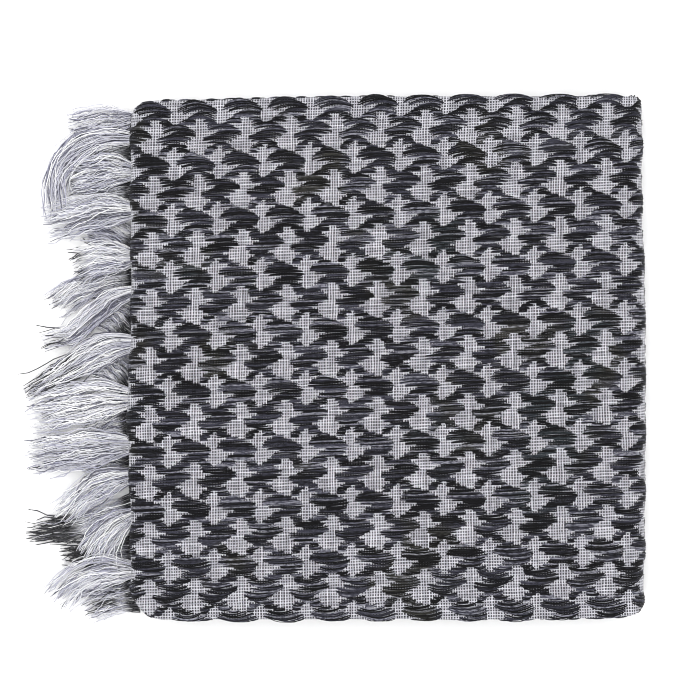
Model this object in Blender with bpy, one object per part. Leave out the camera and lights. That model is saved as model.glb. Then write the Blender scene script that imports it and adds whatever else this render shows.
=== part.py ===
"""A square cotton keffiyeh with two fringed ends, folded in four both ways into a flat packet.

The cloth is first folded twice along its length, which makes a strip of four layers, and the
strip is then folded twice across, so sixteen layers lie on each other. What shows is one
stretch of cloth that runs from under the packet round the right fold, over the top and round
the left fold. The layers between share one solid that is grooved at its edges like the stack.
The two fringed ends lie at the left, under the left fold, and their tassels reach out there.

Frame: +X to the folded side, away from the fringe; +Y to the back; +Z up. The origin is on
the surface that the packet rests on, below the middle of the folded cloth.
"""
import math

import bmesh
import bpy

MM = 0.001

# Driving dimensions in metres.
PACKET_X = 0.275  # left fold to right fold
BACK_Y = 0.139  # origin to the back edge
FRONT_Y = 0.140  # origin to the front edge
LAYER = 1.3 * MM  # one layer of cloth with the air left by folding
LAYERS = 16
WALL = 1.0 * MM  # thickness of a visible stretch
GAP = 0.3 * MM  # between pieces that lie on each other

STRIP = 4 * LAYER  # the strip of four layers
HEIGHT = LAYERS * LAYER
HALF_X = PACKET_X / 2
RIGHT_REACH = 8.0 * MM  # how far the fold round all the layers takes up the right side
LEFT_REACH = STRIP  # the same for the fold round the upper eight
FRINGE_INSET = 3.0 * MM  # the fringed ends stop this far inside the left fold
BACK_CURL = STRIP / 2  # radius of the strip's rounded back edge
FRONT_CURL = LAYER  # radius of the two-layer fold at the front

# The packet's plan isn't quite a rectangle. The shares below are of the whole distance.
BACK_LEAN, BACK_LEAN_START, BACK_LEAN_REACH = 0.020, 25 * MM, 110 * MM  # towards the left
FRONT_LEAN, FRONT_LEAN_START, FRONT_LEAN_REACH = 0.017, 60 * MM, 76 * MM  # towards the right
RIGHT_BACK_DRAW, RIGHT_BACK_REACH = 0.012, 75 * MM
RIGHT_FRONT_DRAW, RIGHT_FRONT_START, RIGHT_FRONT_REACH = 0.010, 60 * MM, 80 * MM
LEFT_SWELL, LEFT_SWELL_Y, LEFT_SWELL_SPREAD = 0.013, -33 * MM, 35 * MM
CORNER_ROUNDS = {(-1, -1): 20 * MM, (1, -1): 12 * MM, (-1, 1): 14 * MM, (1, 1): 8 * MM}

# Places where a piece that runs from left to right, or from back to front, has points.
LONG_STATIONS = [x * MM for x in (-130, -126, -122, -117, -100, -70, -40, -10, 20, 50, 80, 105, 118,
                                  125)]
SIDE_STATIONS = [y * MM for y in (120, 90, 60, 30, 0, -30, -60, -90, -110, -125, -134)]

# Tassels, as points (reach out from the fringed end, place along Y) in millimetres, and the
# widest width of each. The upper row lies on the lower one.
UPPER_TASSELS = [
    ([(0, 127), (16, 126), (33, 124)], 10),
    ([(0, 117), (18, 118), (32, 112), (41, 102), (44, 90), (43, 81)], 10),
    ([(0, 99), (15, 100), (33, 95)], 12),
    ([(0, 78), (18, 78), (45, 71)], 13),
    ([(0, 53), (15, 53), (31, 48)], 12),
    ([(0, 35), (13, 31), (23, 22), (32, 13), (46, 9)], 9),
    ([(0, 7), (12, 6), (23, 1), (37, -8), (54, -17)], 12),
    ([(0, -22), (18, -22), (54, -29)], 15),
    ([(0, -47), (18, -48), (54, -53)], 13),
    ([(0, -63), (14, -66), (27, -73), (39, -84)], 11),
    ([(0, -84), (9, -89), (18, -97), (24, -106)], 11),
    ([(0, -114), (18, -114), (32, -119), (41, -128)], 12),
]
LOWER_TASSELS = [
    ([(0, 109), (18, 107), (36, 104)], 12),
    ([(0, 89), (16, 87), (33, 86)], 12),
    ([(0, 57), (12, 65), (24, 70)], 12),
    ([(0, 44), (16, 41), (30, 36), (42, 28)], 10),
    ([(0, 15), (10, 23), (20, 29)], 11),
    ([(0, -17), (8, -9), (15, -4), (20, -3)], 11),
    ([(0, -35), (12, -38), (25, -44)], 12),
    ([(0, -58), (12, -60), (26, -62)], 11),
    ([(0, -81), (18, -86), (36, -92), (54, -93)], 8),
    ([(0, -101), (18, -104), (37, -107)], 9),
    ([(0, -125), (14, -128), (27, -132)], 12),
]
TASSEL_STATIONS = 6
TASSEL_SIDES = 8
TASSEL_ROOT_WIDTH = 5 * MM
UPPER_TASSEL_Z = (5.0 * MM, 9.4 * MM)
LOWER_TASSEL_Z = (0.0, 4.6 * MM)
UPPER_DROOP = 2.07 / 54  # the upper row sinks this much for each unit of reach
TASSEL_TIP_THICKNESS = 0.55  # of the thickness at the root
TASSEL_START = FRINGE_INSET - 3 * GAP  # inside the left fold

CLOTH_COLOUR = (0.17, 0.17, 0.19, 1)
LAYERS_COLOUR = (0.30, 0.30, 0.33, 1)
FRINGE_COLOUR = (0.55, 0.55, 0.60, 1)
COTTON_ROUGHNESS = 0.9


def clear_scene():
    """Removes every object that the file starts with."""
    for thing in list(bpy.data.objects):
        bpy.data.objects.remove(thing, do_unlink=True)


def cotton(name, colour):
    """A matt cotton material of one colour."""
    material = bpy.data.materials.new(name)
    material.use_nodes = True
    shader = material.node_tree.nodes["Principled BSDF"]
    shader.inputs["Base Color"].default_value = colour
    shader.inputs["Roughness"].default_value = COTTON_ROUGHNESS
    shader.inputs["Metallic"].default_value = 0.0
    return material


def covered(value, reach):
    """How much of a reach a value covers, from 0 to 1."""
    return min(max(value / reach, 0), 1)


def left_swell(y):
    """The bell curve by which the left fold stands out near its middle, as a share."""
    return LEFT_SWELL * math.exp(-(((y - LEFT_SWELL_Y) / LEFT_SWELL_SPREAD) ** 2))


def outline_shape(x, y):
    """The packet's plan outline: leaning back and front edges, a right edge that draws in to
    both ends, a left fold that swells near its middle, and rounded corners."""
    if y > 0:
        y *= 1 - BACK_LEAN * covered(-x - BACK_LEAN_START, BACK_LEAN_REACH)
    else:
        y *= 1 - FRONT_LEAN * covered(x - FRONT_LEAN_START, FRONT_LEAN_REACH) ** 2
    if x > 0:
        x *= 1 - RIGHT_BACK_DRAW * covered(y, RIGHT_BACK_REACH) ** 2
        x *= 1 - RIGHT_FRONT_DRAW * covered(-y - RIGHT_FRONT_START, RIGHT_FRONT_REACH) ** 2
    else:
        x *= 1 + left_swell(y)
    side, end = (1 if x > 0 else -1), (1 if y > 0 else -1)
    radius = CORNER_ROUNDS[side, end]
    over = covered(abs(x) - (HALF_X - radius), radius)
    up = covered(abs(y) - ((BACK_Y if y > 0 else FRONT_Y) - radius), radius)
    x -= side * radius * over * (1 - math.sqrt(1 - up * up / 2))
    y -= end * radius * up * (1 - math.sqrt(1 - over * over / 2))
    return x, y


def solid(name, rings, material, shaped=True, smooth_angle=50):
    """A closed solid from rings of points. Rings join in order, and the first and last are
    capped. A ring is a list of (x, y, z)."""
    bm = bmesh.new()
    layers = []
    for ring in rings:
        layer = []
        for x, y, z in ring:
            if shaped:
                x, y = outline_shape(x, y)
            layer.append(bm.verts.new((x, y, z)))
        layers.append(layer)
    count = len(layers[0])
    for a, b in zip(layers, layers[1:]):
        for i in range(count):
            j = (i + 1) % count
            bm.faces.new((a[i], a[j], b[j], b[i]))
    for ring in (layers[0], layers[-1]):
        cap(bm, ring)
    bmesh.ops.recalc_face_normals(bm, faces=bm.faces)
    mesh = bpy.data.meshes.new(name)
    bm.to_mesh(mesh)
    bm.free()
    mesh.materials.append(material)
    mesh.shade_smooth()
    mesh.set_sharp_from_angle(angle=math.radians(smooth_angle))
    thing = bpy.data.objects.new(name, mesh)
    bpy.context.collection.objects.link(thing)
    return thing


def cap(bm, ring):
    """Closes a ring with quads between its first half and its second half run backwards."""
    half = len(ring) // 2
    for i in range(half - 1):
        corners = (ring[i], ring[i + 1], ring[-2 - i], ring[-1 - i])
        bm.faces.new(corners)


def section(back_turn):
    """The stretch across the strip as (y, depth) points, along its outer face from back to
    front and home along its inner face. It curls inwards by back_turn degrees at the back and
    by half a turn at the front."""
    back_steps, front_steps = 6, 4

    def face(inset):
        points = []
        for i in range(back_steps + 1):
            turn = math.radians(back_turn) * (1 - i / back_steps)
            radius = BACK_CURL - inset
            points.append((BACK_Y - BACK_CURL + radius * math.sin(turn),
                           BACK_CURL - radius * math.cos(turn)))
        points += [(y, inset) for y in SIDE_STATIONS]
        for i in range(front_steps + 1):
            turn = math.pi * i / front_steps
            radius = FRONT_CURL - inset
            points.append((-FRONT_Y + FRONT_CURL - radius * math.sin(turn),
                           FRONT_CURL - radius * math.cos(turn)))
        return points

    return face(0) + face(WALL)[::-1]


def stretch(name, path, back_turn, material):
    """Carries the strip's outer layer along a path of (x, z, inward x, inward z)."""
    profile = section(back_turn)
    rings = []
    for x, z, into_x, into_z in path:
        rings.append([(x + depth * into_x, y, z + depth * into_z) for y, depth in profile])
    return solid(name, rings, material)


def straight_path(start, end, z, into_z):
    """A level path from start to end, with the packet's inside on the side into_z."""
    return [(x, z, 0, into_z) for x in (start, *LONG_STATIONS, end)]


def fold_path(centre_x, centre_z, reach, rise, side, steps=10):
    """Half an ellipse from the top of a fold to its bottom. side is +1 for a fold that faces
    +X and -1 for one that faces -X. The inward direction is square to the ellipse."""
    path = []
    for i in range(steps + 1):
        angle = math.pi / 2 - math.pi * i / steps
        across, up = math.cos(angle), math.sin(angle)
        length = math.hypot(across * rise, up * reach)
        path.append((centre_x + side * reach * across, centre_z + rise * up,
                     -side * across * rise / length, -up * reach / length))
    return path


def left_recess(level):
    """How far the stack stops inside the left fold at a level, which counts half layers."""
    z = level * LAYER / 2
    if level < 16:
        ragged = 0.4 * MM * math.sin(2.3 * level)
        groove = 0.6 * MM if level % 2 == 0 else 0
        return FRINGE_INSET + groove + ragged
    if level == 16:
        return 8 * MM
    inner = LEFT_REACH - WALL - 1.3 * GAP
    rise = abs(z - (HEIGHT - STRIP))
    if rise >= inner:
        return LEFT_REACH + GAP
    return LEFT_REACH - math.sqrt(inner**2 - rise**2)


def right_recess(level):
    """How far the stack stops inside the right fold at a level."""
    z = level * LAYER / 2
    inner_reach = RIGHT_REACH - WALL - 1.3 * GAP
    inner_rise = HEIGHT / 2 - WALL - 1.3 * GAP
    rise = abs(z - HEIGHT / 2) / inner_rise
    if rise >= 1:
        return RIGHT_REACH + GAP
    return RIGHT_REACH - inner_reach * math.sqrt(1 - rise**2)


def back_recess(level):
    """How far the stack stops inside the back edge. Each strip's back edge is a half round:
    the middle two show theirs, and the outer two fill the curl of a visible stretch."""
    z = level * LAYER / 2
    strip = min(int(z / STRIP), 3)
    off_middle = abs(z - (strip + 0.5) * STRIP)
    if strip in (1, 2):
        return BACK_CURL - math.sqrt(max(BACK_CURL**2 - off_middle**2, 0))
    inner = BACK_CURL - WALL - GAP
    if off_middle >= inner:
        return BACK_CURL + 2 * GAP
    return BACK_CURL - math.sqrt(inner**2 - off_middle**2)


def front_recess(level):
    """How far the stack stops inside the front edge. From the middle outwards each way there
    are a fold of two layers, four cut edges and the fold of a visible stretch."""
    from_middle = abs(level - 16)
    if from_middle >= 12:
        return FRONT_CURL + 2 * GAP
    if from_middle <= 4:
        groove = 1.2 * MM if from_middle % 4 == 0 else 0.1 * MM
        return groove + 0.4 * MM
    ragged = 0.3 * MM * math.sin(1.7 * level)
    groove = 0.6 * MM if level % 2 == 0 else 0
    return 0.8 * MM + groove + ragged


def stack_ring(level):
    """The stack's outline at a level. Its corners are notched where a fold's curled edges
    come round them."""
    z = level * LAYER / 2
    least = 0.5 * MM
    left = -HALF_X + left_recess(level)
    right = HALF_X - right_recess(level)
    back = BACK_Y - back_recess(level)
    front = -FRONT_Y + front_recess(level)
    notch_back = min(back - least, BACK_Y - BACK_CURL - 3 * GAP)
    notch_front = max(front + least, -FRONT_Y + FRONT_CURL + 3 * GAP)
    notch_left = max(left + least, -HALF_X + LEFT_REACH + 3 * GAP)
    notch_right = min(right - least, HALF_X - RIGHT_REACH - 3 * GAP)
    corners = [
        ((left, notch_front), (notch_left, notch_front), 1),
        ((notch_left, notch_front), (notch_left, front), 1),
        ((notch_left, front), (notch_right, front), LONG_STATIONS),
        ((notch_right, front), (notch_right, notch_front), 1),
        ((notch_right, notch_front), (right, notch_front), 1),
        ((right, notch_front), (right, notch_back), SIDE_STATIONS[::-1]),
        ((right, notch_back), (notch_right, notch_back), 1),
        ((notch_right, notch_back), (notch_right, back), 1),
        ((notch_right, back), (notch_left, back), LONG_STATIONS[::-1]),
        ((notch_left, back), (notch_left, notch_back), 1),
        ((notch_left, notch_back), (left, notch_back), 1),
        ((left, notch_back), (left, notch_front), SIDE_STATIONS),
    ]
    ring = []
    for start, end, steps in corners:
        if steps == 1:
            ring += [start]
        elif start[0] == end[0]:
            ring += [start] + [(start[0], y) for y in steps]
        else:
            ring += [start] + [(x, start[1]) for x in steps]
    # The ring starts at the left side's middle, so that its halves face each other.
    half_side = (len(SIDE_STATIONS) + 1) // 2
    ring = ring[-half_side:] + ring[:-half_side]
    return [(x, y, z) for x, y in ring]


def folded_layers(material):
    """The layers that are hidden, as one stack from just over the under stretch to just under
    the top one, with a ring at each layer's middle and at each boundary."""
    return solid("folded_layers", [stack_ring(level) for level in range(2, 31)], material)


def along(points, share):
    """The place and heading at a share of a route's length."""
    lengths = [math.dist(a, b) for a, b in zip(points, points[1:])]
    left = share * sum(lengths)
    for a, b, length in zip(points, points[1:], lengths):
        if left <= length or (a, b) == (points[-2], points[-1]):
            part = min(left / length, 1)
            place = (a[0] + (b[0] - a[0]) * part, a[1] + (b[1] - a[1]) * part)
            return place, ((b[0] - a[0]) / length, (b[1] - a[1]) / length)
        left -= length
    return points[-1], (1, 0)


def tassel(name, points, width, z_range, droop, material):
    """A bunch of yarn ends as one plain solid of its reach: narrow at the root, where it starts
    square to the cloth's edge, widest past the middle, drawn in and thinner at the tip. It
    sinks by droop for each unit of reach."""
    full = z_range[1] - z_range[0]
    rings = []
    for i in range(TASSEL_STATIONS):
        share = i / (TASSEL_STATIONS - 1)
        (reach, y), _ = along(points, share)
        _, (ahead, aside) = along(points, min(share, 0.92))
        if i == 0:
            ahead, aside = 1, 0
        spread = math.sin(math.pi * min(0.1 + 0.62 * share, 0.72)) ** 0.8
        half = max(TASSEL_ROOT_WIDTH, width * MM * spread) / 2
        if share == 1:
            half *= 0.7
        low = z_range[0] - droop * reach * MM
        thick = full * (1 - (1 - TASSEL_TIP_THICKNESS) * share)
        ring = []
        for k in range(TASSEL_SIDES):
            angle = 2 * math.pi * (k + 0.5) / TASSEL_SIDES
            sideways = half * math.cos(angle) / math.cos(math.pi / TASSEL_SIDES)
            up = low + thick / 2 * (1 + math.sin(angle) / math.sin(math.pi * 3 / TASSEL_SIDES))
            # Out along the reach is -X, so the side direction of a heading (ahead, aside)
            # in (reach, Y) is (aside, ahead) in (X, Y).
            root = -HALF_X * (1 + left_swell(y * MM)) + TASSEL_START
            ring.append((root - reach * MM + sideways * aside, y * MM + sideways * ahead, up))
        rings.append(ring)
    return solid(name, rings, material, shaped=False)


def build():
    clear_scene()
    cloth = cotton("woven_cotton", CLOTH_COLOUR)
    layers = cotton("layered_cotton", LAYERS_COLOUR)
    fringe = cotton("fringe_cotton", FRINGE_COLOUR)

    seam = GAP / 2
    left_end = -HALF_X + LEFT_REACH
    right_end = HALF_X - RIGHT_REACH
    stretch("top_stretch", straight_path(left_end + seam, right_end - seam, HEIGHT, -1), 180, cloth)
    stretch("under_stretch",
            straight_path(-HALF_X + FRINGE_INSET, right_end - seam, 0, 1), 180, cloth)
    stretch("left_fold",
            fold_path(left_end - seam, HEIGHT - STRIP, LEFT_REACH - seam, STRIP, -1), 100, cloth)
    stretch("right_fold",
            fold_path(right_end + seam, HEIGHT / 2, RIGHT_REACH - seam, HEIGHT / 2, 1), 100, cloth)
    folded_layers(layers)
    rows = (("upper", UPPER_TASSELS, UPPER_TASSEL_Z, UPPER_DROOP),
            ("lower", LOWER_TASSELS, LOWER_TASSEL_Z, 0.0))
    for row, tassels, z_range, droop in rows:
        for number, (points, width) in enumerate(tassels, 1):
            tassel(f"tassel_{row}_{number:02d}", points, width, z_range, droop, fringe)


build()
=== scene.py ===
"""A cotton keffiyeh folded into a flat packet, seen from above on a pale table.

The file follows the scarf as it is put together: the woven square and how it lies folded, the
stretch on top, the stretch below, the layers between, the dark floats woven over the pale
ground, the fringed ends and their tassels, and then the table, the light and the camera.
"""
import math

import bpy
import numpy as np
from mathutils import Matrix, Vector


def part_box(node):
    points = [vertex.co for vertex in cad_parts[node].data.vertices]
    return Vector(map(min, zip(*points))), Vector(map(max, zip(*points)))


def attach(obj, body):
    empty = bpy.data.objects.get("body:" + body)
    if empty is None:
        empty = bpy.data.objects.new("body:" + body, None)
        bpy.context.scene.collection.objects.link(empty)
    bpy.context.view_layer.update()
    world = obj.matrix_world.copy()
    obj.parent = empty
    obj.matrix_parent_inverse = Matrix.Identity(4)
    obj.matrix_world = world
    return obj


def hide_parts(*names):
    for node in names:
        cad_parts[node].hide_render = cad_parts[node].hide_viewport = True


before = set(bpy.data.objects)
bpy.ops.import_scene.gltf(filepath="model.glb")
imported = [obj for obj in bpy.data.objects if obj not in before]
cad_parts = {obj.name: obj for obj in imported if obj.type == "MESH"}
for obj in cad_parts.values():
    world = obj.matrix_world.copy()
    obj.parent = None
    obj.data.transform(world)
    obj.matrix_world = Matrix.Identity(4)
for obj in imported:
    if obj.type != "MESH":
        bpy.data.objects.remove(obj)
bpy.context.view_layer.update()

# ---------------------------------------------------------------------------------------------
# The woven square and its folds.
# It is one square of cotton. It was folded twice along its length into a strip of four layers,
# and the strip twice across, so that one face shows all the way from the underside, round the
# right fold, over the top and round the left fold.

MM = 0.001
STRIP = 5.2 * MM  # four layers
LAYER = STRIP / 4
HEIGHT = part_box("top_stretch")[1].z
HALF_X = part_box("right_fold")[1].x
BACK_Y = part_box("top_stretch")[1].y
RIGHT_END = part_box("top_stretch")[1].x  # where the top stretch starts round the right fold
LEFT_END = -HALF_X + STRIP
FRONT_Y = -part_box("top_stretch")[0].y
UNDER_START = -HALF_X + 3 * MM  # the fringed ends, inside the left fold
INNER_TURN = 126 * MM  # where the two middle strips turn, inside the right fold
BACK_CURL, FRONT_CURL = STRIP / 2, LAYER
SINK = 0.45 * MM  # from the packet's outer face down to the ground weave, under its floats
FOLD_POINTS = 61  # on each half ellipse of the strip's path
SHORTEST_STEP = 1e-5  # keeps the places on the path apart where the middle strips turn


def strip_path():
    """The packet's outer face along the strip, as a table of (a, x, z, inward x, inward z).
    a is the place on the cloth. It equals x on the top stretch, grows round the right fold and
    back along the underside, and falls round the left fold and through the middle strips.
    Folds are half ellipses, and the middle strips turn about one line."""
    steps = np.linspace(0, math.pi, FOLD_POINTS)
    reach, rise = HALF_X - RIGHT_END, HEIGHT / 2
    right = np.stack([RIGHT_END + reach * np.sin(steps), rise + rise * np.cos(steps)], 1)
    right_in = np.stack([-np.sin(steps) * rise, -np.cos(steps) * reach], 1)
    reach, rise = LEFT_END + HALF_X, STRIP
    left = np.stack([LEFT_END - reach * np.sin(steps), HEIGHT - STRIP + rise * np.cos(steps)], 1)
    left_in = np.stack([np.sin(steps) * rise, -np.cos(steps) * reach], 1)
    middle = HEIGHT / 2
    turn = np.stack([INNER_TURN + 0 * steps, middle + 0 * steps], 1)
    turn_in = np.stack([np.sin(steps), np.cos(steps)], 1)
    points = np.concatenate([[[UNDER_START, 0]], right[::-1], left, turn, [[UNDER_START, middle]]])
    inward = np.concatenate([[[0, 1]], right_in[::-1], left_in, turn_in, [[0, -1]]])
    inward /= np.linalg.norm(inward, axis=1)[:, None]
    step = np.maximum(np.linalg.norm(np.diff(points, axis=0), axis=1), SHORTEST_STEP)
    a = -np.concatenate([[0], np.cumsum(step)])
    a += RIGHT_END - a[len(right)]
    return np.column_stack([a, points, inward])[::-1]


PATH = strip_path()
A_UNDER_END = PATH[-1, 0]  # the fringed end below
A_RIGHT = RIGHT_END  # where the right fold starts
A_BELOW = PATH[-2, 0]  # where the right fold ends, below
A_LEFT = LEFT_END  # where the left fold starts
# Where the left fold ends: the path's nearest point to its foot.
A_TUCKED = PATH[np.argmin(np.abs(PATH[:, 1] - LEFT_END) + np.abs(PATH[:, 2] - HEIGHT / 2)), 0]


def along_path(a):
    """x, z, inward x and inward z at places a on the strip."""
    return [np.interp(a, PATH[:, 0], PATH[:, k]) for k in range(1, 5)]


def across(b):
    """y, depth and the outward direction (y, depth) across the strip. b is y on the flat, and
    runs on round the half-round back edge and round the front fold, by arc length."""
    back_turn = np.clip((b - (BACK_Y - BACK_CURL)) / BACK_CURL, 0, math.pi)
    front_turn = np.clip((-(FRONT_Y - FRONT_CURL) - b) / FRONT_CURL, 0, math.pi)
    flat = np.clip(b, -(FRONT_Y - FRONT_CURL), BACK_Y - BACK_CURL)
    y = flat + BACK_CURL * np.sin(back_turn) - FRONT_CURL * np.sin(front_turn)
    depth = BACK_CURL * (1 - np.cos(back_turn)) + FRONT_CURL * (1 - np.cos(front_turn))
    turn = back_turn + front_turn
    out_y = np.sin(back_turn) - np.sin(front_turn)
    return y, depth, out_y, -np.cos(turn)


def covered(value, reach):
    """How much of a reach a value covers, from 0 to 1."""
    return np.clip(value / reach, 0, 1)


# How each edge leaves a true rectangle: by what share of its distance from the middle, from
# where, over what reach, and to what power of the share of that reach.
BACK_LEAN = (0.020, 25 * MM, 110 * MM, 1)
FRONT_LEAN = (0.017, 60 * MM, 76 * MM, 2)
RIGHT_TO_BACK = (0.012, 0, 75 * MM, 2)
RIGHT_TO_FRONT = (0.010, 60 * MM, 80 * MM, 2)
SWELL, SWELL_Y, SWELL_SPREAD = 0.013, -33 * MM, 35 * MM
# The radius of each corner.
RIGHT_BACK, RIGHT_FRONT, LEFT_BACK, LEFT_FRONT = 8 * MM, 12 * MM, 14 * MM, 20 * MM


def left_swell(y):
    """The bell curve by which the left fold stands out near its middle, as a share of x."""
    return SWELL * np.exp(-(((y - SWELL_Y) / SWELL_SPREAD) ** 2))


def drawn_by(value, share, start, reach, power):
    """1, less a share that grows over the reach from start on."""
    return 1 - share * covered(value - start, reach) ** power


def outline(x, y):
    """The packet's plan as it lies. The back edge leans in to the left and the front edge to
    the right, the right edge draws in to both ends and the left fold swells. Corners are
    rounded as a square is drawn in to a disc: each way by the other way's share."""
    y = y * np.where(y > 0, drawn_by(-x, *BACK_LEAN), drawn_by(x, *FRONT_LEAN))
    right = drawn_by(y, *RIGHT_TO_BACK) * drawn_by(-y, *RIGHT_TO_FRONT)
    x = x * np.where(x > 0, right, 1 + left_swell(y))
    radius = np.where(x > 0, np.where(y > 0, RIGHT_BACK, RIGHT_FRONT),
                      np.where(y > 0, LEFT_BACK, LEFT_FRONT))
    over = covered(np.abs(x) - (HALF_X - radius), radius)
    up = covered(np.abs(y) - (np.where(y > 0, BACK_Y, FRONT_Y) - radius), radius)
    in_x = radius * over * (1 - np.sqrt(1 - up**2 / 2))
    in_y = radius * up * (1 - np.sqrt(1 - over**2 / 2))
    return x - np.sign(x) * in_x, y - np.sign(y) * in_y


def drawn_in(a, b):
    """How far the outline moves the place (a, b) of the cloth, along x and y."""
    x, y = along_path(a)[0], across(b)[0]
    moved_x, moved_y = outline(x, y)
    return moved_x - x, moved_y - y


# The repeat is 22 warp yarns wide and 20 picks tall. The weave lies a little askew on the
# packet, and its picks draw closer together towards the back and the front edge.
COLUMNS, ROWS = 22, 20
REPEAT_X, REPEAT_Y = 24.14 * MM, 30.74 * MM
FIRST_X, FIRST_Y = -47.0 * MM, 14.4 * MM
RISE = 0.95 * MM  # towards the back, for each repeat to the right
LEAN, LEAN_BEND, FAN = -0.29 * MM, 0.083 * MM, 0.051 * MM
CLOSER, CLOSER_BEND = 0.0265 * MM, -0.111 * MM
OUTLINE_ROUNDS, WEAVE_ROUNDS = 6, 12  # rounds of correction


def laid_out(i, j):
    """The place on the packet of a repeat counted i to the right and j to the front: even
    spacings, with a lean, a rise and a fan, and with powers of j for its bends."""
    a = FIRST_X + REPEAT_X * i + LEAN * j + LEAN_BEND * j**2 + FAN * i * j
    b = FIRST_Y - REPEAT_Y * j + RISE * i + CLOSER_BEND * j**2 + CLOSER * j**3
    return a, b


def cloth_place(column, row):
    """The place (a, b) of a column and row of the weave. The weave is laid out on the packet
    as it lies, so what the outline moves is taken off again by repeated correction."""
    seen_a, seen_b = laid_out(column / COLUMNS, row / ROWS)
    a, b = seen_a, seen_b
    for _ in range(OUTLINE_ROUNDS):
        move_a, move_b = drawn_in(a, b)
        a, b = seen_a - move_a, seen_b - move_b
    return a, b


def weave_place(a, b):
    """The column and row at a place (a, b): the layout of cloth_place turned round by
    repeated correction."""
    move_a, move_b = drawn_in(a, b)
    a, b = a + move_a, b + move_b
    i, j = (a - FIRST_X) / REPEAT_X, (FIRST_Y - b) / REPEAT_Y
    for _ in range(WEAVE_ROUNDS):
        found_a, found_b = laid_out(i, j)
        i = i + (a - found_a) / REPEAT_X
        j = j - (b - found_b) / REPEAT_Y
    return i * COLUMNS, j * ROWS


def smooth_noise(x, y, seed, waves=7):
    """Smooth noise, mostly from -1 to 1: a sum of sine waves with seeded headings and phases, one
    period being about one unit of x and y."""
    rng = np.random.default_rng(seed)
    total = 0
    for _ in range(waves):
        heading, phase = rng.uniform(0, 2 * math.pi, 2)
        pitch = rng.uniform(0.6, 1.6) * 2 * math.pi
        total = total + np.sin(pitch * (x * math.cos(heading) + y * math.sin(heading)) + phase)
    return total / math.sqrt(waves / 2) / 1.6


PUFF = 0.22 * MM  # how far the ground stands up under a bundle of floats
BUNDLE_COLUMN = 14.5  # of the repeat, where the bundles of floats are fullest
SWAY = 0.35 * MM  # slow rise and fall of the layers below
SWAY_A, SWAY_B = 90 * MM, 110 * MM  # about how far apart its rises are
SETTLING = 10 * MM  # the reach over which puffs and sway fade out as the cloth goes below
TABLE_GAP = 0.05 * MM  # the least height of the cloth over the table


def cloth_point(a, b, lift):
    """Points of the cloth in space: the strip's path, the way across it, then out from it by
    the lift over the ground weave. The ground puffs up under each bundle of dark floats, as the
    product of two cosines of the repeat."""
    x, z, in_x, in_z = along_path(a)
    y, depth, out_y, out_depth = across(b)
    column, row = weave_place(a, b)
    bundle = np.cos(2 * math.pi * (column - BUNDLE_COLUMN) / COLUMNS)
    bundle = bundle * np.cos(2 * math.pi * row / ROWS)
    below = np.clip((a - A_BELOW) / SETTLING + 1, 0, 1)
    swaying = smooth_noise(a / SWAY_A, b / SWAY_B, 3) * SWAY * (1 - below)
    lift = lift + (PUFF * bundle) * (1 - below) - np.abs(swaying) - SINK
    depth = depth + lift * out_depth
    y = y + lift * out_y
    x, z = x + depth * in_x, z + depth * in_z
    x, y = outline(x, y)
    return np.stack([x, y, np.maximum(z, TABLE_GAP)], -1)


# ---------------------------------------------------------------------------------------------
# The top stretch.
# Pale cotton in an open plain weave, one thin sheet from the end of the left fold, over the top
# and round the right fold. Its back edge is the strip's double fold and its front edge a fold.

def new_piece(name, points, *faces, maps=(), values=()):
    """A mesh object from points (n, 3) and arrays of faces, each (m, sides). maps are (name,
    uv for each point) and values are (name, number for each point)."""
    mesh = bpy.data.meshes.new(name)
    mesh.vertices.add(len(points))
    mesh.vertices.foreach_set("co", np.ascontiguousarray(points, np.float32).ravel())
    corners = np.concatenate([f.ravel() for f in faces]).astype(np.int32)
    sides = np.concatenate([np.full(len(f), f.shape[1]) for f in faces])
    starts = (np.cumsum(sides) - sides).astype(np.int32)
    mesh.loops.add(len(corners))
    mesh.loops.foreach_set("vertex_index", corners)
    mesh.polygons.add(len(starts))
    mesh.polygons.foreach_set("loop_start", starts)
    mesh.update(calc_edges=True)
    for map_name, uv in maps:
        layer = mesh.uv_layers.new(name=map_name)
        layer.uv.foreach_set("vector", np.ascontiguousarray(uv[corners], np.float32).ravel())
    for value_name, numbers in values:
        attribute = mesh.attributes.new(value_name, "FLOAT", "POINT")
        attribute.data.foreach_set("value", np.ascontiguousarray(numbers, np.float32).ravel())
    mesh.shade_smooth()
    mesh.validate()
    piece = bpy.data.objects.new(name, mesh)
    bpy.context.scene.collection.objects.link(piece)
    return piece


def grid_faces(rows, columns, wrap=False):
    """Quads between neighbours of a grid whose points run along its columns first. With wrap,
    the last column joins the first."""
    at = np.arange(rows * columns).reshape(rows, columns)
    if wrap:
        at = np.concatenate([at, at[:, :1]], 1)
    quads = np.stack([at[:-1, :-1], at[:-1, 1:], at[1:, 1:], at[1:, :-1]], -1)
    return quads.reshape(-1, 4)


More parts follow.
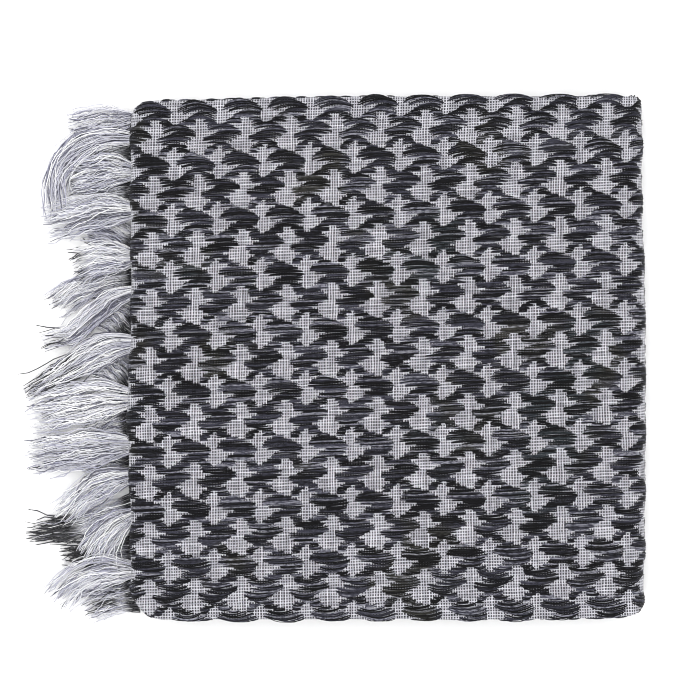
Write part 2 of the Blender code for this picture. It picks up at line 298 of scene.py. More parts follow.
class Wire:
    """A shader socket that can be added, multiplied and so on. Each sign adds a Math node."""

    def __init__(self, tree, socket):
        self.tree, self.socket = tree, socket

    def node(self, kind, settings=None, inputs=None, output=0):
        """Adds a node, applies its settings, fills or links its inputs, and returns an output."""
        added = self.tree.nodes.new(kind)
        for key, value in (settings or {}).items():
            setattr(added, key, value)
        for key, value in (inputs or {}).items():
            if isinstance(value, Wire):
                self.tree.links.new(value.socket, added.inputs[key])
            else:
                added.inputs[key].default_value = value
        return Wire(self.tree, added.outputs[output])

    def maths(self, operation, *values):
        return self.node("ShaderNodeMath", {"operation": operation}, dict(enumerate(values)))

    def __add__(self, other):
        return self.maths("ADD", self, other)

    __radd__ = __add__

    def __sub__(self, other):
        return self.maths("SUBTRACT", self, other)

    def __rsub__(self, other):
        return self.maths("SUBTRACT", other, self)

    def __mul__(self, other):
        return self.maths("MULTIPLY", self, other)

    __rmul__ = __mul__

    def __pow__(self, other):
        return self.maths("POWER", self, other)

    def sine(self):
        return self.maths("SINE", self)

    def clamped(self):
        return self.node("ShaderNodeClamp", None, {0: self})

    def ramp(self, low, high):
        """0 at low and below, 1 at high and above, smooth between."""
        settings = {"interpolation_type": "SMOOTHSTEP"}
        return self.node("ShaderNodeMapRange", settings, {0: self, 1: low, 2: high})

    def mix(self, first, second):
        """first where this wire is 0, second where it is 1. Both are colours."""
        settings = {"data_type": "RGBA"}
        return self.node("ShaderNodeMix", settings, {0: self, 6: first, 7: second}, 2)


def colour(red, green, blue):
    """A linear colour from one on the 0 to 255 scale of a screen."""
    return [((c / 255 + 0.055) / 1.055) ** 2.4 for c in (red, green, blue)] + [1.0]


def start_material(name, roughness, sheen):
    """A cotton material: its shader node, a wire to start expressions from, and itself."""
    material = bpy.data.materials.new(name)
    material.use_nodes = True
    tree = material.node_tree
    shader = tree.nodes["Principled BSDF"]
    shader.inputs["Roughness"].default_value = roughness
    shader.inputs["Sheen Weight"].default_value = sheen
    shader.inputs["Sheen Roughness"].default_value = 0.6
    shader.inputs["Specular IOR Level"].default_value = 0.25
    return material, shader, Wire(tree, None)


def noise(wire, vector, scale, detail):
    """Noise from 0 to 1, with scale periods to each unit of the vector."""
    inputs = {"Vector": vector, "Scale": scale, "Detail": detail}
    return wire.node("ShaderNodeTexNoise", None, inputs)


def attribute(wire, name):
    """A number kept at each point of the mesh."""
    return wire.node("ShaderNodeAttribute", {"attribute_name": name}, None, 2)


def uv_parts(wire, name):
    """The two parts of a UV map, and the whole as a vector."""
    vector = wire.node("ShaderNodeUVMap", {"uv_map": name})
    x, y = (wire.node("ShaderNodeSeparateXYZ", None, {0: vector}, part) for part in (0, 1))
    return x, y, vector


def stretched(wire, vector, x, y):
    """A vector with its first two parts multiplied, which stretches a pattern read from it."""
    return wire.node("ShaderNodeVectorMath", {"operation": "MULTIPLY"},
                     {0: vector, 1: (x, y, 1.0)})


DRAWN_YARNS = 0.8  # warp yarns drawn for each real one, so that the gaps still show from above


def add_bump(material, strength, distance, height):
    """A Bump node from a height wire into the material's Normal."""
    shader = material.node_tree.nodes["Principled BSDF"]
    bump = height.node("ShaderNodeBump", None,
                       {"Strength": strength, "Distance": distance, "Height": height})
    material.node_tree.links.new(bump.socket, shader.inputs["Normal"])


def ground_material():
    """Open plain weave of pale cotton. One unit of the yarn map is one yarn each way, and
    each gap between yarns is where both sines are low. The gaps are painted near black, as painted
    shade for the dark seen through them. The yarns wander a little, and slubs make single ones
    paler or thicker. Where the dark value is 1, charcoal yarns cover the ground."""
    material, shader, wire = start_material("pale_ground_weave", 0.85, 0.1)
    column, row, vector = uv_parts(wire, "yarns")
    warp_wander = noise(wire, stretched(wire, vector, 0.2, 0.12), 1.0, 2)
    weft_wander = noise(wire, stretched(wire, vector, 0.12, 0.3), 1.0, 2)
    warp = ((column * DRAWN_YARNS + (warp_wander - 0.5) * 0.9) * (2 * math.pi)).sine()
    weft = ((row + (weft_wander - 0.5) * 0.6) * (2 * math.pi)).sine()
    warp, weft = warp * 0.5 + 0.5, weft * 0.5 + 0.5
    warp_slub = noise(wire, stretched(wire, vector, 1.0, 0.05), 0.9, 3)
    weft_slub = noise(wire, stretched(wire, vector, 0.05, 1.0), 0.9, 3)
    loose = noise(wire, vector, 0.6, 3)
    warp_gap = (1 - warp * (0.8 + warp_slub * 0.4) + (loose - 0.5) * 0.5).ramp(0.27, 0.53)
    weft_gap = (1 - weft * (0.8 + weft_slub * 0.4) + (loose - 0.5) * 0.5).ramp(0.14, 0.46)
    hole = warp_gap * weft_gap
    parity = (column * math.pi).sine() * (row * math.pi).sine()
    tone = (warp_slub + weft_slub) * 0.5
    pale = tone.ramp(0.35, 0.65).mix(colour(144, 144, 151), colour(196, 196, 203))
    dark = attribute(wire, "dark")
    tree = material.node_tree
    shader.inputs["Base Color"].default_value = colour(185, 185, 195)
    # Painted shade: the gaps between yarns are coloured near black for the shade seen through them.
    cotton_with_hole_shade = (hole * 0.98).mix(pale, colour(12, 12, 15))
    charcoal = weft_slub.ramp(0.3, 0.7).mix(colour(28, 28, 34), colour(70, 70, 80))
    tree.links.new(dark.mix(cotton_with_hole_shade, charcoal).socket, shader.inputs["Base Color"])
    tree.links.new((hole * 0.1 + 0.82).socket, shader.inputs["Roughness"])
    add_bump(material, 0.6, 0.3 * MM, parity * 0.25 - hole)
    return material


GROUND = ground_material()


def cloth_sheet(name, a, b):
    """The ground weave over a grid of places a and b, with its two maps: yarns counts columns
    and rows, and OFBake spreads the piece over the unit square."""
    grid_a, grid_b = np.meshgrid(a, b, indexing="ij")
    flat_a, flat_b = grid_a.ravel(), grid_b.ravel()
    points = cloth_point(flat_a, flat_b, 0.0)
    column, row = weave_place(flat_a, flat_b)
    spread = np.stack([(flat_a - a.min()) / np.ptp(a), (flat_b - b.min()) / np.ptp(b)], 1)
    return new_piece(name, points, grid_faces(len(a), len(b)),
                     maps=[("yarns", np.stack([column, row], 1)), ("OFBake", spread)])


def spaced(start, end, step):
    """Evenly spaced places from start to end, both included, about a step apart."""
    return np.linspace(start, end, max(2, int(round(abs(end - start) / step)) + 1))


B_BACK = BACK_Y - BACK_CURL + math.pi * BACK_CURL  # the rim tucked behind the back edge
B_FRONT = -(FRONT_Y - FRONT_CURL) - math.pi * FRONT_CURL

TOP_B = np.concatenate([
    spaced(B_FRONT, -(FRONT_Y - FRONT_CURL), 0.6 * MM)[:-1],
    spaced(-(FRONT_Y - FRONT_CURL), BACK_Y - BACK_CURL, 1.7 * MM),
    spaced(BACK_Y - BACK_CURL, B_BACK, 0.8 * MM)[1:]])
TOP_A = np.concatenate([
    spaced(A_TUCKED - 5 * MM, A_LEFT, 1.0 * MM)[:-1],
    spaced(A_LEFT, A_RIGHT, 1.7 * MM),
    spaced(A_RIGHT, A_BELOW, 1.2 * MM)[1:]])
top_cloth = cloth_sheet("top_cloth", TOP_A, TOP_B)
top_cloth.data.materials.append(GROUND)
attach(top_cloth, "root")
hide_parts("top_stretch", "left_fold", "right_fold")

# ---------------------------------------------------------------------------------------------
# The stretch below.
# The same cloth after it has come round the right fold. It lies flat on the table and runs to
# the lower fringed end.

UNDER_A = spaced(A_BELOW, A_UNDER_END, 2.4 * MM)
UNDER_B = TOP_B[::2] if len(TOP_B) % 2 else TOP_B  # wider apart, if both rims stay in
under_cloth = cloth_sheet("under_cloth", UNDER_A, UNDER_B)
under_cloth.data.materials.append(GROUND)
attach(under_cloth, "root")
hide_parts("under_stretch")

# ---------------------------------------------------------------------------------------------
# The layers between.
# Fourteen more layers of the same cloth, held in one closed stack. Their folds and cut edges
# show at the front, half-round folds at the back, and frayed ends at the left, low down.

# The chart of one repeat: row, first column, last column. Some floats run on into the next
# repeat to the right.
CHART = np.array([
    (0, 7.0, 23.7), (1, 12.4, 22.9), (2, 9.4, 22.6), (3, 8.6, 20.9), (4, 6.4, 13.4),
    (4, 17.1, 23.0), (5, 4.3, 13.5), (5, 18.7, 23.7), (6, 18.8, 31.9), (7, 19.6, 33.8),
    (8, 23.5, 35.6), (9, 20.8, 35.7), (10, 17.1, 33.4), (11, 17.1, 31.2), (12, 18.7, 28.3),
    (13, 21.6, 31.0), (14, 4.3, 9.2), (14, 19.2, 24.5), (15, 4.4, 11.0), (15, 18.0, 22.8),
    (16, 8.7, 14.5), (16, 18.0, 21.8), (17, 6.0, 18.1), (18, 4.8, 21.0), (19, 4.3, 22.8)])


BETWEEN = 14  # layers between the top stretch and the one below
EDGE_HEIGHTS = [-0.97, -0.7, 0.0, 0.7, 0.97]  # of an edge's rings, over half a layer


def is_charted(column, row):
    """1 where the chart has a dark float at a column and row of the weave, else 0."""
    repeat = np.floor(row) % ROWS
    inside = np.zeros(np.shape(column))
    for chart_row, first, last in CHART:
        offset = (column - first) % COLUMNS
        inside += (repeat == chart_row) * (offset < last - first)
    return np.minimum(inside, 1)


def layer_stack(name):
    """A closed stack. Each layer's edge is a half round, so a ring of points at each of five
    heights of it stands back by the recess of its side plus a circle's bulge. Folds bulge over
    two layers at the front, and over four at the back."""
    rng = np.random.default_rng(21)
    layer = np.repeat(np.arange(1, BETWEEN + 1), len(EDGE_HEIGHTS))[:, None]
    across_edge = np.tile(EDGE_HEIGHTS, BETWEEN)[:, None]
    z = (layer + 0.5 + across_edge / 2) * LAYER
    side_steps = {"front": 150, "back": 150, "left": 80, "right": 60}
    bulge = 1 - np.sqrt(1 - across_edge**2)
    from_middle = np.floor(np.abs(layer - (BETWEEN + 1) / 2))

    def ragged(share, seed, reach):
        """Slow wander along one side, different for each layer, always inwards."""
        wander = smooth_noise(share * 9 + layer * 0.37, layer * 1.7, seed)
        return reach * (0.5 + 0.5 * np.clip(wander, -1, 1))

    share = np.linspace(0, 1, side_steps["front"], endpoint=False)[None]
    pair = np.clip(np.abs(z - HEIGHT / 2) / LAYER - 1, -1, 1)
    fold = 0.3 * MM + 1.2 * MM * (1 - np.sqrt(1 - pair**2)) + ragged(share, 31, 0.5 * MM)
    cut = 0.5 * MM + 0.55 * MM * bulge + ragged(share, 32, 1.1 * MM)
    hidden = FRONT_CURL + 0.6 * MM
    front = np.where(from_middle < 2, fold, np.where(from_middle < 6, cut, hidden + 0 * share))

    off_middle = np.abs(z % STRIP - STRIP / 2)
    curl = BACK_CURL - np.sqrt(np.maximum(BACK_CURL**2 - off_middle**2, (0.3 * MM) ** 2))
    inner = BACK_CURL - 1.2 * MM
    filled = BACK_CURL - np.sqrt(np.maximum(inner**2 - off_middle**2, 0))
    middle_strips = np.abs(z - HEIGHT / 2) < STRIP
    back = np.where(middle_strips, curl + ragged(share, 33, 0.6 * MM), filled + 0 * share)

    share = np.linspace(0, 1, side_steps["left"], endpoint=False)[None]
    rise = np.abs(z - (HEIGHT - STRIP))
    inner = STRIP - 1.4 * MM
    tucked = STRIP - np.sqrt(np.maximum(inner**2 - rise**2, 0))
    ends = 3.2 * MM + 0.5 * MM * bulge + ragged(share, 34, 1.0 * MM)
    left = np.where(layer < 8, ends, tucked + 0 * share)

    share = np.linspace(0, 1, side_steps["right"], endpoint=False)[None]
    reach, rise = HALF_X - RIGHT_END, np.abs(z - HEIGHT / 2) / (HEIGHT / 2 - 1.4 * MM)
    right = reach - (reach - 1.4 * MM) * np.sqrt(np.maximum(1 - rise**2, 0)) + 0 * share

    # Once round: along the front, up the right, back along the back, down the left.
    low_x, high_x = -HALF_X + left, HALF_X - right
    low_y, high_y = -FRONT_Y + front, BACK_Y - back

    def mixed(start, end, steps):
        part = np.linspace(0, 1, steps, endpoint=False)[None]
        return start + (end - start) * part

    x = np.concatenate([mixed(low_x[:, :1], high_x[:, :1], side_steps["front"]), high_x,
                        mixed(high_x[:, -1:], low_x[:, -1:], side_steps["back"]),
                        low_x[:, ::-1]], 1)
    y = np.concatenate([low_y, mixed(low_y[:, -1:], high_y[:, -1:], side_steps["right"]),
                        high_y[:, ::-1],
                        mixed(high_y[:, :1], low_y[:, :1], side_steps["left"])], 1)
    levels, around = x.shape
    flat_x, flat_y = outline(x.ravel(), y.ravel())
    points = np.stack([flat_x, flat_y, np.repeat(z.ravel(), around)], 1)
    ends = [[0, 0, z[0, 0]], [0, 0, z[-1, 0]]]
    points = np.concatenate([points, ends])
    at = np.arange(around)
    below = np.stack([np.roll(at, -1), at, np.full(around, levels * around)], 1)
    above = np.stack([at, np.roll(at, -1), np.full(around, levels * around)], 1)
    above = above + (levels - 1) * around
    above[:, 2] = levels * around + 1
    # Each layer shows the weave from another place on the square.
    shift_a = np.repeat(rng.uniform(0, 0.3, BETWEEN), len(EDGE_HEIGHTS))[:, None]
    shift_b = np.repeat(rng.uniform(0, 0.3, BETWEEN), len(EDGE_HEIGHTS))[:, None]
    column, row = weave_place(x * 0.9 + shift_a * 0.2, y * 0.9 + shift_b * 0.2)
    dark = is_charted(column, row)
    step_x = np.diff(x[:1], append=x[:1, :1])
    step_y = np.diff(y[:1], append=y[:1, :1])
    girth = np.cumsum(np.hypot(step_x, step_y))
    yarn_u = np.broadcast_to(girth / (1.1 * MM), x.shape)
    yarn_v = np.broadcast_to(z / (0.9 * MM), x.shape)
    spread = np.stack([np.broadcast_to(girth / girth[-1], x.shape).ravel(),
                       np.broadcast_to(z / HEIGHT, x.shape).ravel()], 1)
    yarns = np.stack([yarn_u.ravel(), yarn_v.ravel()], 1)
    more = [[0.5, 0.0], [0.5, 1.0]]
    return new_piece(name, points, grid_faces(levels, around, wrap=True), below, above,
                     maps=[("yarns", np.concatenate([yarns, more])),
                           ("OFBake", np.concatenate([spread, more]))],
                     values=[("dark", np.concatenate([dark.ravel(), [0, 0]]))])


inner_layers = layer_stack("inner_layers")
inner_layers.data.materials.append(GROUND)
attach(inner_layers, "root")
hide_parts("folded_layers")

# ---------------------------------------------------------------------------------------------
# The floats.
# Charcoal cotton yarns that run across the ground in the pattern's dark parts. Each is thrown
# over several warp yarns and caught by the ground at both its ends, so it stands proud, bows a
# little, and lies side by side with the next in lens-shaped bundles.

def charted_floats(a_low, a_high, b_low, b_high):
    """Row, first column and last column of every float whose middle lies in these bounds."""
    i, j = np.meshgrid(np.arange(-12, 24), np.arange(-7, 8), indexing="ij")
    shift = np.stack([j.ravel() * ROWS, i.ravel() * COLUMNS, i.ravel() * COLUMNS], 1)
    floats = (CHART[None] + shift[:, None]).reshape(-1, 3)
    a, b = cloth_place((floats[:, 1] + floats[:, 2]) / 2, floats[:, 0] + 0.5)
    kept = (a > a_low) & (a < a_high) & (b > b_low) & (b < b_high)
    return floats[kept]


def float_yarns(name, floats, strands, stations, lift, seed):
    """Half-round yarns over the ground. Along a float from 0 to 1, the yarn leaves the ground
    at once and rises as a flattened sine, its width swells from both ends, and it bows aside as
    a parabola. Across, a yarn has two edges and a ridge. A float is strands yarns wide."""
    rng = np.random.default_rng(seed)
    row, first, last = (np.repeat(floats[:, k], strands) for k in range(3))
    strand = np.tile(np.arange(strands), len(floats))
    total = len(strand)
    first = first + rng.uniform(-0.3, 0.3, total)
    last = last + rng.uniform(-0.3, 0.3, total)
    middle_a, middle_b = cloth_place((first + last) / 2, row + 0.5)
    # Bundles near the back edge arch towards it and those near the front sag towards it.
    edge = np.clip(middle_b / BACK_Y, -1.1, 1.1)
    length = (last - first) / 16
    arch = -(1.3 * edge**3 + 0.3 * smooth_noise(middle_a / 0.02, middle_b / 0.03, 5))
    arch = arch * length + rng.normal(0, 0.12, total)
    aside = (strand + 0.5) / strands - 0.5 + rng.normal(0, 0.05, total)
    tilt = rng.normal(0, 0.09, total)
    half_width = rng.uniform(0.42, 0.60, total) / strands
    height = lift * rng.uniform(0.55, 1.15, total) * np.clip(length, 0.45, 1)
    height = height * (1 + 0.8 * np.abs(edge) ** 6)
    share = np.linspace(0, 1, stations)
    hump = np.sin(math.pi * share) ** 0.6
    taper = 0.85 + 0.15 * np.sin(math.pi * share) ** 0.5
    column = first[:, None] + (last - first)[:, None] * share
    bow = np.sin(math.pi * share) - 2 / math.pi
    bowed = aside[:, None] * (0.85 + 0.2 * hump) + arch[:, None] * bow + 0.5
    bowed = bowed + tilt[:, None] * (share - 0.5) * 2
    side = np.array([-1.0, 0.0, 1.0])
    row_at = (row[:, None] + bowed)[..., None] + side * (half_width[:, None] * taper)[..., None]
    column_at = np.broadcast_to(column[..., None], row_at.shape)
    ridge = np.array([0.0, 1.0, 0.0]) * 0.34 * MM
    rise = (height[:, None] * hump)[..., None] + ridge * taper[:, None] - 0.03 * MM
    a, b = cloth_place(column_at, row_at)
    points = cloth_point(a.ravel(), b.ravel(), rise.ravel())
    one = grid_faces(stations, 3)
    faces = (np.arange(total)[:, None, None] * stations * 3 + one[None]).reshape(-1, 4)
    tone = np.repeat(rng.uniform(0, 1, total), stations * 3)
    over = np.broadcast_to(side / 2 + 0.5, row_at.shape).ravel()
    over = over + np.repeat(strand + row * 3, stations * 3)
    yarns = np.stack([column_at.ravel(), over], 1)
    spread = np.stack([(a - a.min()) / np.ptp(a), (b - b.min()) / np.ptp(b)], -1).reshape(-1, 2)
    return new_piece(name, points, faces, maps=[("yarns", yarns), ("OFBake", spread)],
                     values=[("tone", tone)])


def float_material():
    """Charcoal cotton, near black in places and grey in others, with a blue cast that turns
    brown or green in patches a few centimetres wide. Fine fibres run along the yarn. Each yarn
    is painted lighter along its ridge and darker at its two edges: painted highlight and shade."""
    material, shader, wire = start_material("charcoal_float_yarn", 0.62, 0.04)
    shader.inputs["Specular IOR Level"].default_value = 0.12
    along, over, vector = uv_parts(wire, "yarns")
    tone = attribute(wire, "tone")
    place = wire.node("ShaderNodeTexCoord", None, None, 3)
    patch = noise(wire, place, 28.0, 2)
    other = noise(wire, place, 16.0, 2)
    fibre = noise(wire, stretched(wire, vector, 0.5, 1.3), 1.0, 3)
    # Painted highlight and shade: lighter along each yarn's ridge, darker at its two edges.
    ridge = (over * math.pi).sine().maths("ABSOLUTE")
    tone_and_ridge_highlight = (tone ** 2 * 0.6 + fibre + ridge * 0.2).ramp(0.62, 1.5)
    blue = tone_and_ridge_highlight.mix(colour(0, 0, 4), colour(80, 80, 95))
    brown = tone_and_ridge_highlight.mix(colour(1, 1, 1), colour(74, 73, 68))
    green = tone_and_ridge_highlight.mix(colour(0, 1, 4), colour(68, 76, 82))
    base = patch.ramp(0.56, 0.68).mix(blue, brown)
    base = other.ramp(0.6, 0.7).mix(base, green)
    streak = tone.ramp(0.84, 0.94) * fibre.ramp(0.42, 0.58)
    base = (streak * 0.7).mix(base, colour(150, 150, 160))
    tree = material.node_tree
    shader.inputs["Base Color"].default_value = colour(50, 50, 58)
    tree.links.new(base.socket, shader.inputs["Base Color"])
    tree.links.new((fibre * 0.25 + 0.5).socket, shader.inputs["Roughness"])
    add_bump(material, 0.5, 0.15 * MM, fibre)
    return material


CHARCOAL = float_material()
A_MEET = A_BELOW - 2 * MM  # where the top's floats end and those below start
A_PLAIN = A_UNDER_END - 8 * MM  # the strip by the fringe below carries no floats
above = charted_floats(A_TUCKED, A_MEET, B_FRONT, B_BACK)
underneath = charted_floats(A_MEET, A_PLAIN, B_FRONT, B_BACK)
top_floats = float_yarns("top_floats", above, strands=2, stations=8, lift=0.55 * MM, seed=11)
under_floats = float_yarns("under_floats", underneath, strands=1, stations=6, lift=0.06 * MM,
                           seed=12)
for piece in (top_floats, under_floats):
    piece.data.materials.append(CHARCOAL)
    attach(piece, "root")

# ---------------------------------------------------------------------------------------------
# The fringe.
# The cloth's pale yarns run on past its two cut ends and hang out in loose bunches, eight
# layers of cloth together. Some end in the charcoal yarns' dark cut tips.

TASSEL_X = -HALF_X + 2.1 * MM
# Each bunch: its route as (reach out from the cloth, place along Y) in millimetres, its width,
# the share of its yarns that are charcoal at their ends, and where along it that starts.
UPPER_TASSELS = [
    ([(0, 127), (16, 126), (33, 124)], 10, 0.0, 1.0),
    ([(0, 117), (18, 118), (32, 112), (41, 102), (44, 90), (43, 81)], 10, 0.15, 0.9),
    ([(0, 99), (15, 100), (33, 95)], 12, 0.0, 1.0),
    ([(0, 78), (18, 78), (45, 71)], 13, 0.0, 1.0),
    ([(0, 53), (15, 53), (31, 48)], 12, 0.35, 0.75),
    ([(0, 35), (13, 31), (23, 22), (32, 13), (46, 9)], 9, 0.3, 0.75),
    ([(0, 7), (12, 6), (23, 1), (37, -8), (54, -17)], 14, 0.3, 0.45),
    ([(0, -22), (18, -22), (54, -29)], 15, 0.0, 1.0),
    ([(0, -47), (18, -48), (54, -53)], 13, 0.03, 0.6),
    ([(0, -63), (14, -66), (27, -73), (39, -84)], 11, 0.05, 0.8),
    ([(0, -84), (9, -89), (18, -97), (24, -106)], 11, 0.15, 0.8),
    ([(0, -114), (18, -114), (32, -119), (41, -128)], 12, 0.1, 0.85),
]
LOWER_TASSELS = [
    ([(0, 109), (18, 107), (36, 104)], 12, 0.0, 1.0),
    ([(0, 89), (16, 87), (33, 86)], 12, 0.05, 0.9),
    ([(0, 57), (12, 65), (24, 70)], 12, 0.1, 0.75),
    ([(0, 44), (16, 41), (30, 36), (42, 28)], 10, 0.4, 0.85),
    ([(0, 15), (10, 23), (20, 29)], 14, 0.0, 1.0),
    ([(0, -17), (8, -9), (15, -4), (20, -3)], 11, 0.0, 1.0),
    ([(0, -35), (12, -38), (25, -44)], 12, 0.0, 1.0),
    ([(0, -58), (12, -60), (26, -62)], 11, 0.0, 1.0),
    ([(0, -81), (18, -86), (36, -92), (54, -93)], 8, 0.9, 0.5),
    ([(0, -101), (18, -104), (37, -107)], 9, 0.9, 0.5),
    ([(0, -125), (14, -128), (27, -132)], 12, 0.15, 0.3),
]
# How wide some bunches still are at the tip, as a share.
CLOSING = {"upper_02": 0.75, "upper_06": 0.6, "upper_07": 0.2, "upper_10": 0.7}
YARNS_PER_MM = 8.0
STATIONS = 13  # rings along a yarn
ROUTE_POINTS = 41
ROUNDINGS = 12  # of a route's corners
FULLNESS = 1.55  # how much wider the loose yarns spread than the bunch's width
SHORTEST, LENGTH_POWER = 0.62, 0.6  # of a yarn; the power brings the lengths closer together
STRAY_SHARE, STRAY_REACH = 0.07, 15  # of the yarns, and the millimetres they may stand off
ROOT_SHADE_SHARE, ROOT_SHADE_REACH, ROOT_SHADE_FADE = 0.85, 8, 3  # painted shade at the lower roots, under the upper row: share of yarns, then reach and fade in millimetres


def smooth_route(points, stretch):
    """Points evenly spaced along a broken line that is first carried on straight by stretch
    times its length, with its corners rounded by repeated averaging of neighbours."""
    line = np.array(points, float)
    length = np.concatenate([[0], np.cumsum(np.hypot(*np.diff(line, axis=0).T))])
    ahead = (line[-1] - line[-2]) / (length[-1] - length[-2])
    line = np.concatenate([line, [line[-1] + ahead * length[-1] * stretch]])
    length = np.append(length, length[-1] * (1 + stretch))
    even = np.linspace(0, length[-1], ROUTE_POINTS)
    route = np.stack([np.interp(even, length, line[:, k]) for k in (0, 1)], 1)
    for _ in range(ROUNDINGS):
        route[1:-1] = (route[:-2] + 2 * route[1:-1] + route[2:]) / 4
    return route


def tassel_yarns(name, points, width, tip, dark_share, dark_from, low, full, droop, root, seed):
    """Loose yarns as three-sided tubes. Each keeps its place across the bunch and up it while
    the bunch opens like a fan: its half width is a rising sine of the way along, narrowed
    towards the tip. Each wanders as a sum of three sines, has its own length, and a few stray
    off to one side."""
    rng = np.random.default_rng(seed)
    count = int(width * YARNS_PER_MM)
    route = smooth_route(points, 0.1)
    heading = np.gradient(route, axis=0)
    heading /= np.linalg.norm(heading, axis=1)[:, None]
    length = rng.uniform(SHORTEST, 1.0, count) ** LENGTH_POWER
    way = np.linspace(0, 1, STATIONS)[None] * length[:, None]
    place, known = way * (ROUTE_POINTS - 1), np.arange(ROUTE_POINTS)
    reach, y = (np.interp(place, known, route[:, k]) for k in (0, 1))
    ahead, sideways = (np.interp(place, known, heading[:, k]) for k in (0, 1))
    u = rng.uniform(-1, 1, count)[:, None]
    v = rng.uniform(0, 1, count)[:, None] * np.sqrt(1 - u**2 * 0.8)
    half = width / 2 * FULLNESS * (root + (1 - root) * np.sin(math.pi * np.clip(way * 1.1, 0, 0.6)))
    half = half * (1 - (1 - tip) * np.clip(way / 0.9 - 0.2, 0, 1))
    turns = reach.max() / 10 * 2 * math.pi
    phase = rng.uniform(0, 2 * math.pi, (count, 3))
    wave = (0.7 * np.sin(phase[:, :1] + way * turns * 0.45)
            + 0.42 * np.sin(phase[:, 1:2] + way * turns)
            + 0.2 * np.sin(phase[:, 2:] + way * turns * 2.1))
    drift = rng.normal(0, 0.2, count)[:, None] * way
    shift = half * (u + drift) + wave * np.minimum(way * 4, 1)
    stray = (rng.uniform(size=count) < STRAY_SHARE)[:, None]
    slant = rng.uniform(0.5, 1.0, count)[:, None] * rng.choice([-1, 1], count)[:, None]
    leaves = rng.uniform(0.0, 0.4, count)[:, None]
    shift = shift + stray * slant * np.clip(way - leaves, 0, 1) ** 1.5 * STRAY_REACH
    swell = HALF_X * left_swell(y * MM) * (1 - 0.7 * way)
    x = TASSEL_X - swell - reach * MM + shift * sideways * MM
    y = y * MM + shift * ahead * MM
    base = low - droop * reach * MM
    thick = full * (1 - 0.45 * way)
    lift = 0.1 * np.sin(phase[:, :1] * 3 + way * 13)
    z = base + 0.35 * MM + (thick - 0.7 * MM) * np.clip(v + lift + 0.25 * stray, 0, 1)
    step_x, step_y = np.gradient(x, axis=1), np.gradient(y, axis=1)
    step = np.maximum(np.hypot(step_x, step_y), 1e-6)
    side = np.stack([-step_y / step, step_x / step, 0 * step], -1)
    thickness = (rng.uniform(0.2, 0.36, count) * MM)[:, None]
    radius = thickness * np.where(way < length[:, None], 1, 0.6)  # thinner at the cut end
    centre = np.stack([x, y, z], -1)
    turn = np.array([90, 210, 330]) / 180 * math.pi
    up = np.array([0, 0, 1.0])
    ring = side[:, :, None] * np.cos(turn)[:, None] + up * np.sin(turn)[:, None]
    tube = centre[:, :, None] + ring * radius[..., None, None]
    tube[..., 2] = np.maximum(tube[..., 2], 0.02 * MM)
    one = grid_faces(STATIONS, 3, wrap=True)
    starts = np.arange(count)[:, None, None] * STATIONS * 3
    faces = (starts + one[None]).reshape(-1, 4)
    caps = np.array([[0, 1, 2], [2, 1, 0]])
    caps[1] += (STATIONS - 1) * 3
    caps = (starts + caps[None]).reshape(-1, 3)
    tone = np.repeat(rng.uniform(0, 1, count), STATIONS * 3)
    charcoal = (rng.uniform(size=count) < dark_share)[:, None]
    dark = charcoal * np.clip((way - dark_from) / 0.08, 0, 1)
    # Painted shade: most yarns of the lower row are painted charcoal near their roots, where the
    # upper row shades them.
    if low == 0:
        root_shade = (rng.uniform(size=count) < ROOT_SHADE_SHARE)[:, None]
        dark = np.maximum(dark, root_shade * np.clip((ROOT_SHADE_REACH - reach) / ROOT_SHADE_FADE, 0, 1))
    dark = np.repeat(dark.ravel(), 3)
    along = np.broadcast_to(way[..., None], (count, STATIONS, 3)).ravel()
    number = np.repeat((np.arange(count) + 0.5) / count, STATIONS * 3)
    edge = np.tile([0.0, 0.33, 0.66], count * STATIONS) / count
    spread = np.stack([along, number + edge - 0.33 / count], 1)
    return new_piece(name, tube.reshape(-1, 3), faces, caps, maps=[("OFBake", spread)],
                     values=[("tone", tone), ("dark", dark)])


def fringe_material():
    """Pale lavender-grey cotton yarn, each a little lighter or greyer than the next, with a
    few painted dark grey as painted shade among the yarns. It is charcoal at some ends, and near
    black at the lower bunches' roots as painted shade under the upper row. Its twist is a fine
    grain."""
    material, shader, wire = start_material("fringe_yarn", 0.8, 0.15)
    tone = attribute(wire, "tone")
    dark = attribute(wire, "dark")
    place = wire.node("ShaderNodeTexCoord", None, None, 3)
    patch = noise(wire, place, 60.0, 2)
    twist = noise(wire, place, 1500.0, 1)
    shade = (tone * 1.2 + patch * 0.6 - 0.4).clamped()
    pale = shade.mix(colour(168, 168, 188), colour(255, 255, 255))
    # Painted shade: the yarns of lowest tone are painted dark grey, standing in for the shaded gaps
    # among the yarns.
    pale = (1 - tone).ramp(0.86, 0.93).mix(pale, colour(94, 94, 110))
    # This charcoal also paints the shade at the lower bunches' roots.
    charcoal = shade.mix(colour(8, 8, 11), colour(62, 62, 68))
    tree = material.node_tree
    shader.inputs["Base Color"].default_value = colour(200, 200, 210)
    tree.links.new(dark.mix(pale, charcoal).socket, shader.inputs["Base Color"])
    tree.links.new((twist * 0.2 + 0.7).socket, shader.inputs["Roughness"])
    add_bump(material, 0.4, 0.1 * MM, twist)
    return material


FRINGE = fringe_material()
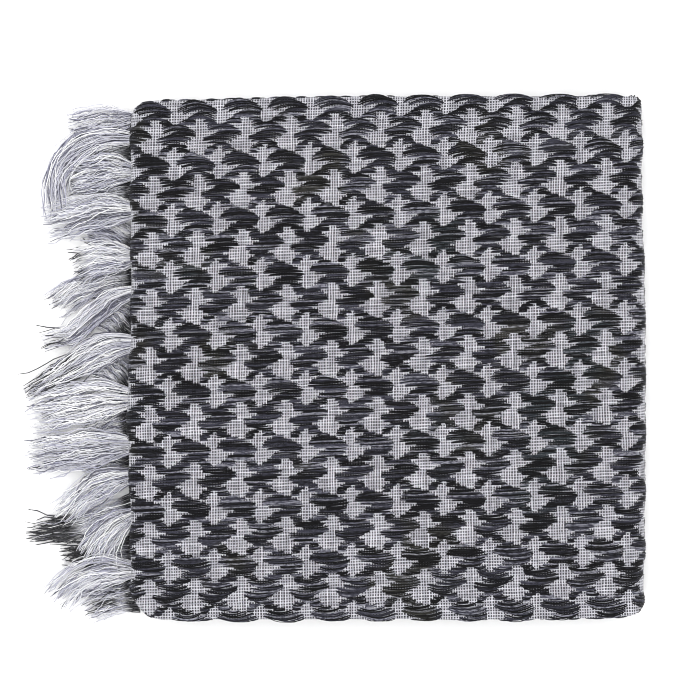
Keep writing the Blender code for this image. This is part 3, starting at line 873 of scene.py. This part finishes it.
# Each row: its bunches, its lowest point, its thickness, how much it sinks for each unit of
# reach, and its width at the root as a share of its full width.
rows = (("upper", UPPER_TASSELS, 5.0 * MM, 4.4 * MM, 2.07 / 54, 0.42),
        ("lower", LOWER_TASSELS, 0.0, 4.6 * MM, 0.0, 1.35))
for row_name, tassels, low, full, droop, root in rows:
    for number, (points, width, dark_share, dark_from) in enumerate(tassels, 1):
        bunch = f"{row_name}_{number:02d}"
        tip, seed = CLOSING.get(bunch, 1.0), 100 * number + int(low > 0)
        piece = tassel_yarns(f"fringe_{bunch}", points, width, tip, dark_share, dark_from, low,
                             full, droop, root, seed)
        piece.data.materials.append(FRINGE)
        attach(piece, "root")
        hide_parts(f"tassel_{bunch}")

# ---------------------------------------------------------------------------------------------
# The table, the light and the camera.
# A pale seamless table top, a broad soft light from the upper left and an even white room. The
# camera looks straight down and frames the packet with its fringe.

TABLE_HALF = 3.0
TABLE_Z = -0.1 * MM
WORLD_STRENGTH = 1.6
corners = np.array([(-1, -1), (1, -1), (1, 1), (-1, 1)]) * TABLE_HALF
table_points = np.column_stack([corners, np.full(4, TABLE_Z)])
table = new_piece("table", table_points, np.array([[0, 1, 2, 3]]))
table_material, table_shader, _ = start_material("white_table", 0.8, 0.0)
table_shader.inputs["Base Color"].default_value = (0.93, 0.93, 0.93, 1)
table.data.materials.append(table_material)

world = bpy.data.worlds.new("white_room")
bpy.context.scene.world = world
world.use_nodes = True
background = world.node_tree.nodes["Background"]
background.inputs["Color"].default_value = (1, 1, 1, 1)
background.inputs["Strength"].default_value = WORLD_STRENGTH


def soft_light(name, place, size, power):
    """A square light at a place, turned to the packet."""
    data = bpy.data.lights.new(name, "AREA")
    data.size, data.energy = size, power
    light = bpy.data.objects.new(name, data)
    bpy.context.scene.collection.objects.link(light)
    light.location = place
    x, y, z = place
    light.rotation_euler = (math.atan2(math.hypot(x, y), z), 0, math.atan2(x, -y) + math.pi)


soft_light("window", (-0.7, 1.1, 1.3), 0.9, 37)

VIEW_HEIGHT = 1.6
VIEW_WIDTH = 371 * MM  # what the frame takes in at the packet's top
VIEW_X, VIEW_Y = -20.4 * MM, 3.7 * MM
SENSOR = 36  # millimetres, as the lens is given
camera_data = bpy.data.cameras.new("camera")
camera_data.sensor_width = SENSOR
camera_data.lens = SENSOR * (VIEW_HEIGHT - HEIGHT) / VIEW_WIDTH
camera_data.clip_start = 0.01
camera = bpy.data.objects.new("camera", camera_data)
camera.location = (VIEW_X, VIEW_Y, VIEW_HEIGHT)
bpy.context.scene.collection.objects.link(camera)
bpy.context.scene.camera = camera
bpy.context.scene.view_settings.view_transform = "Standard"
bpy.context.scene.cycles.filter_width = 1.0  # crisp enough for single yarns
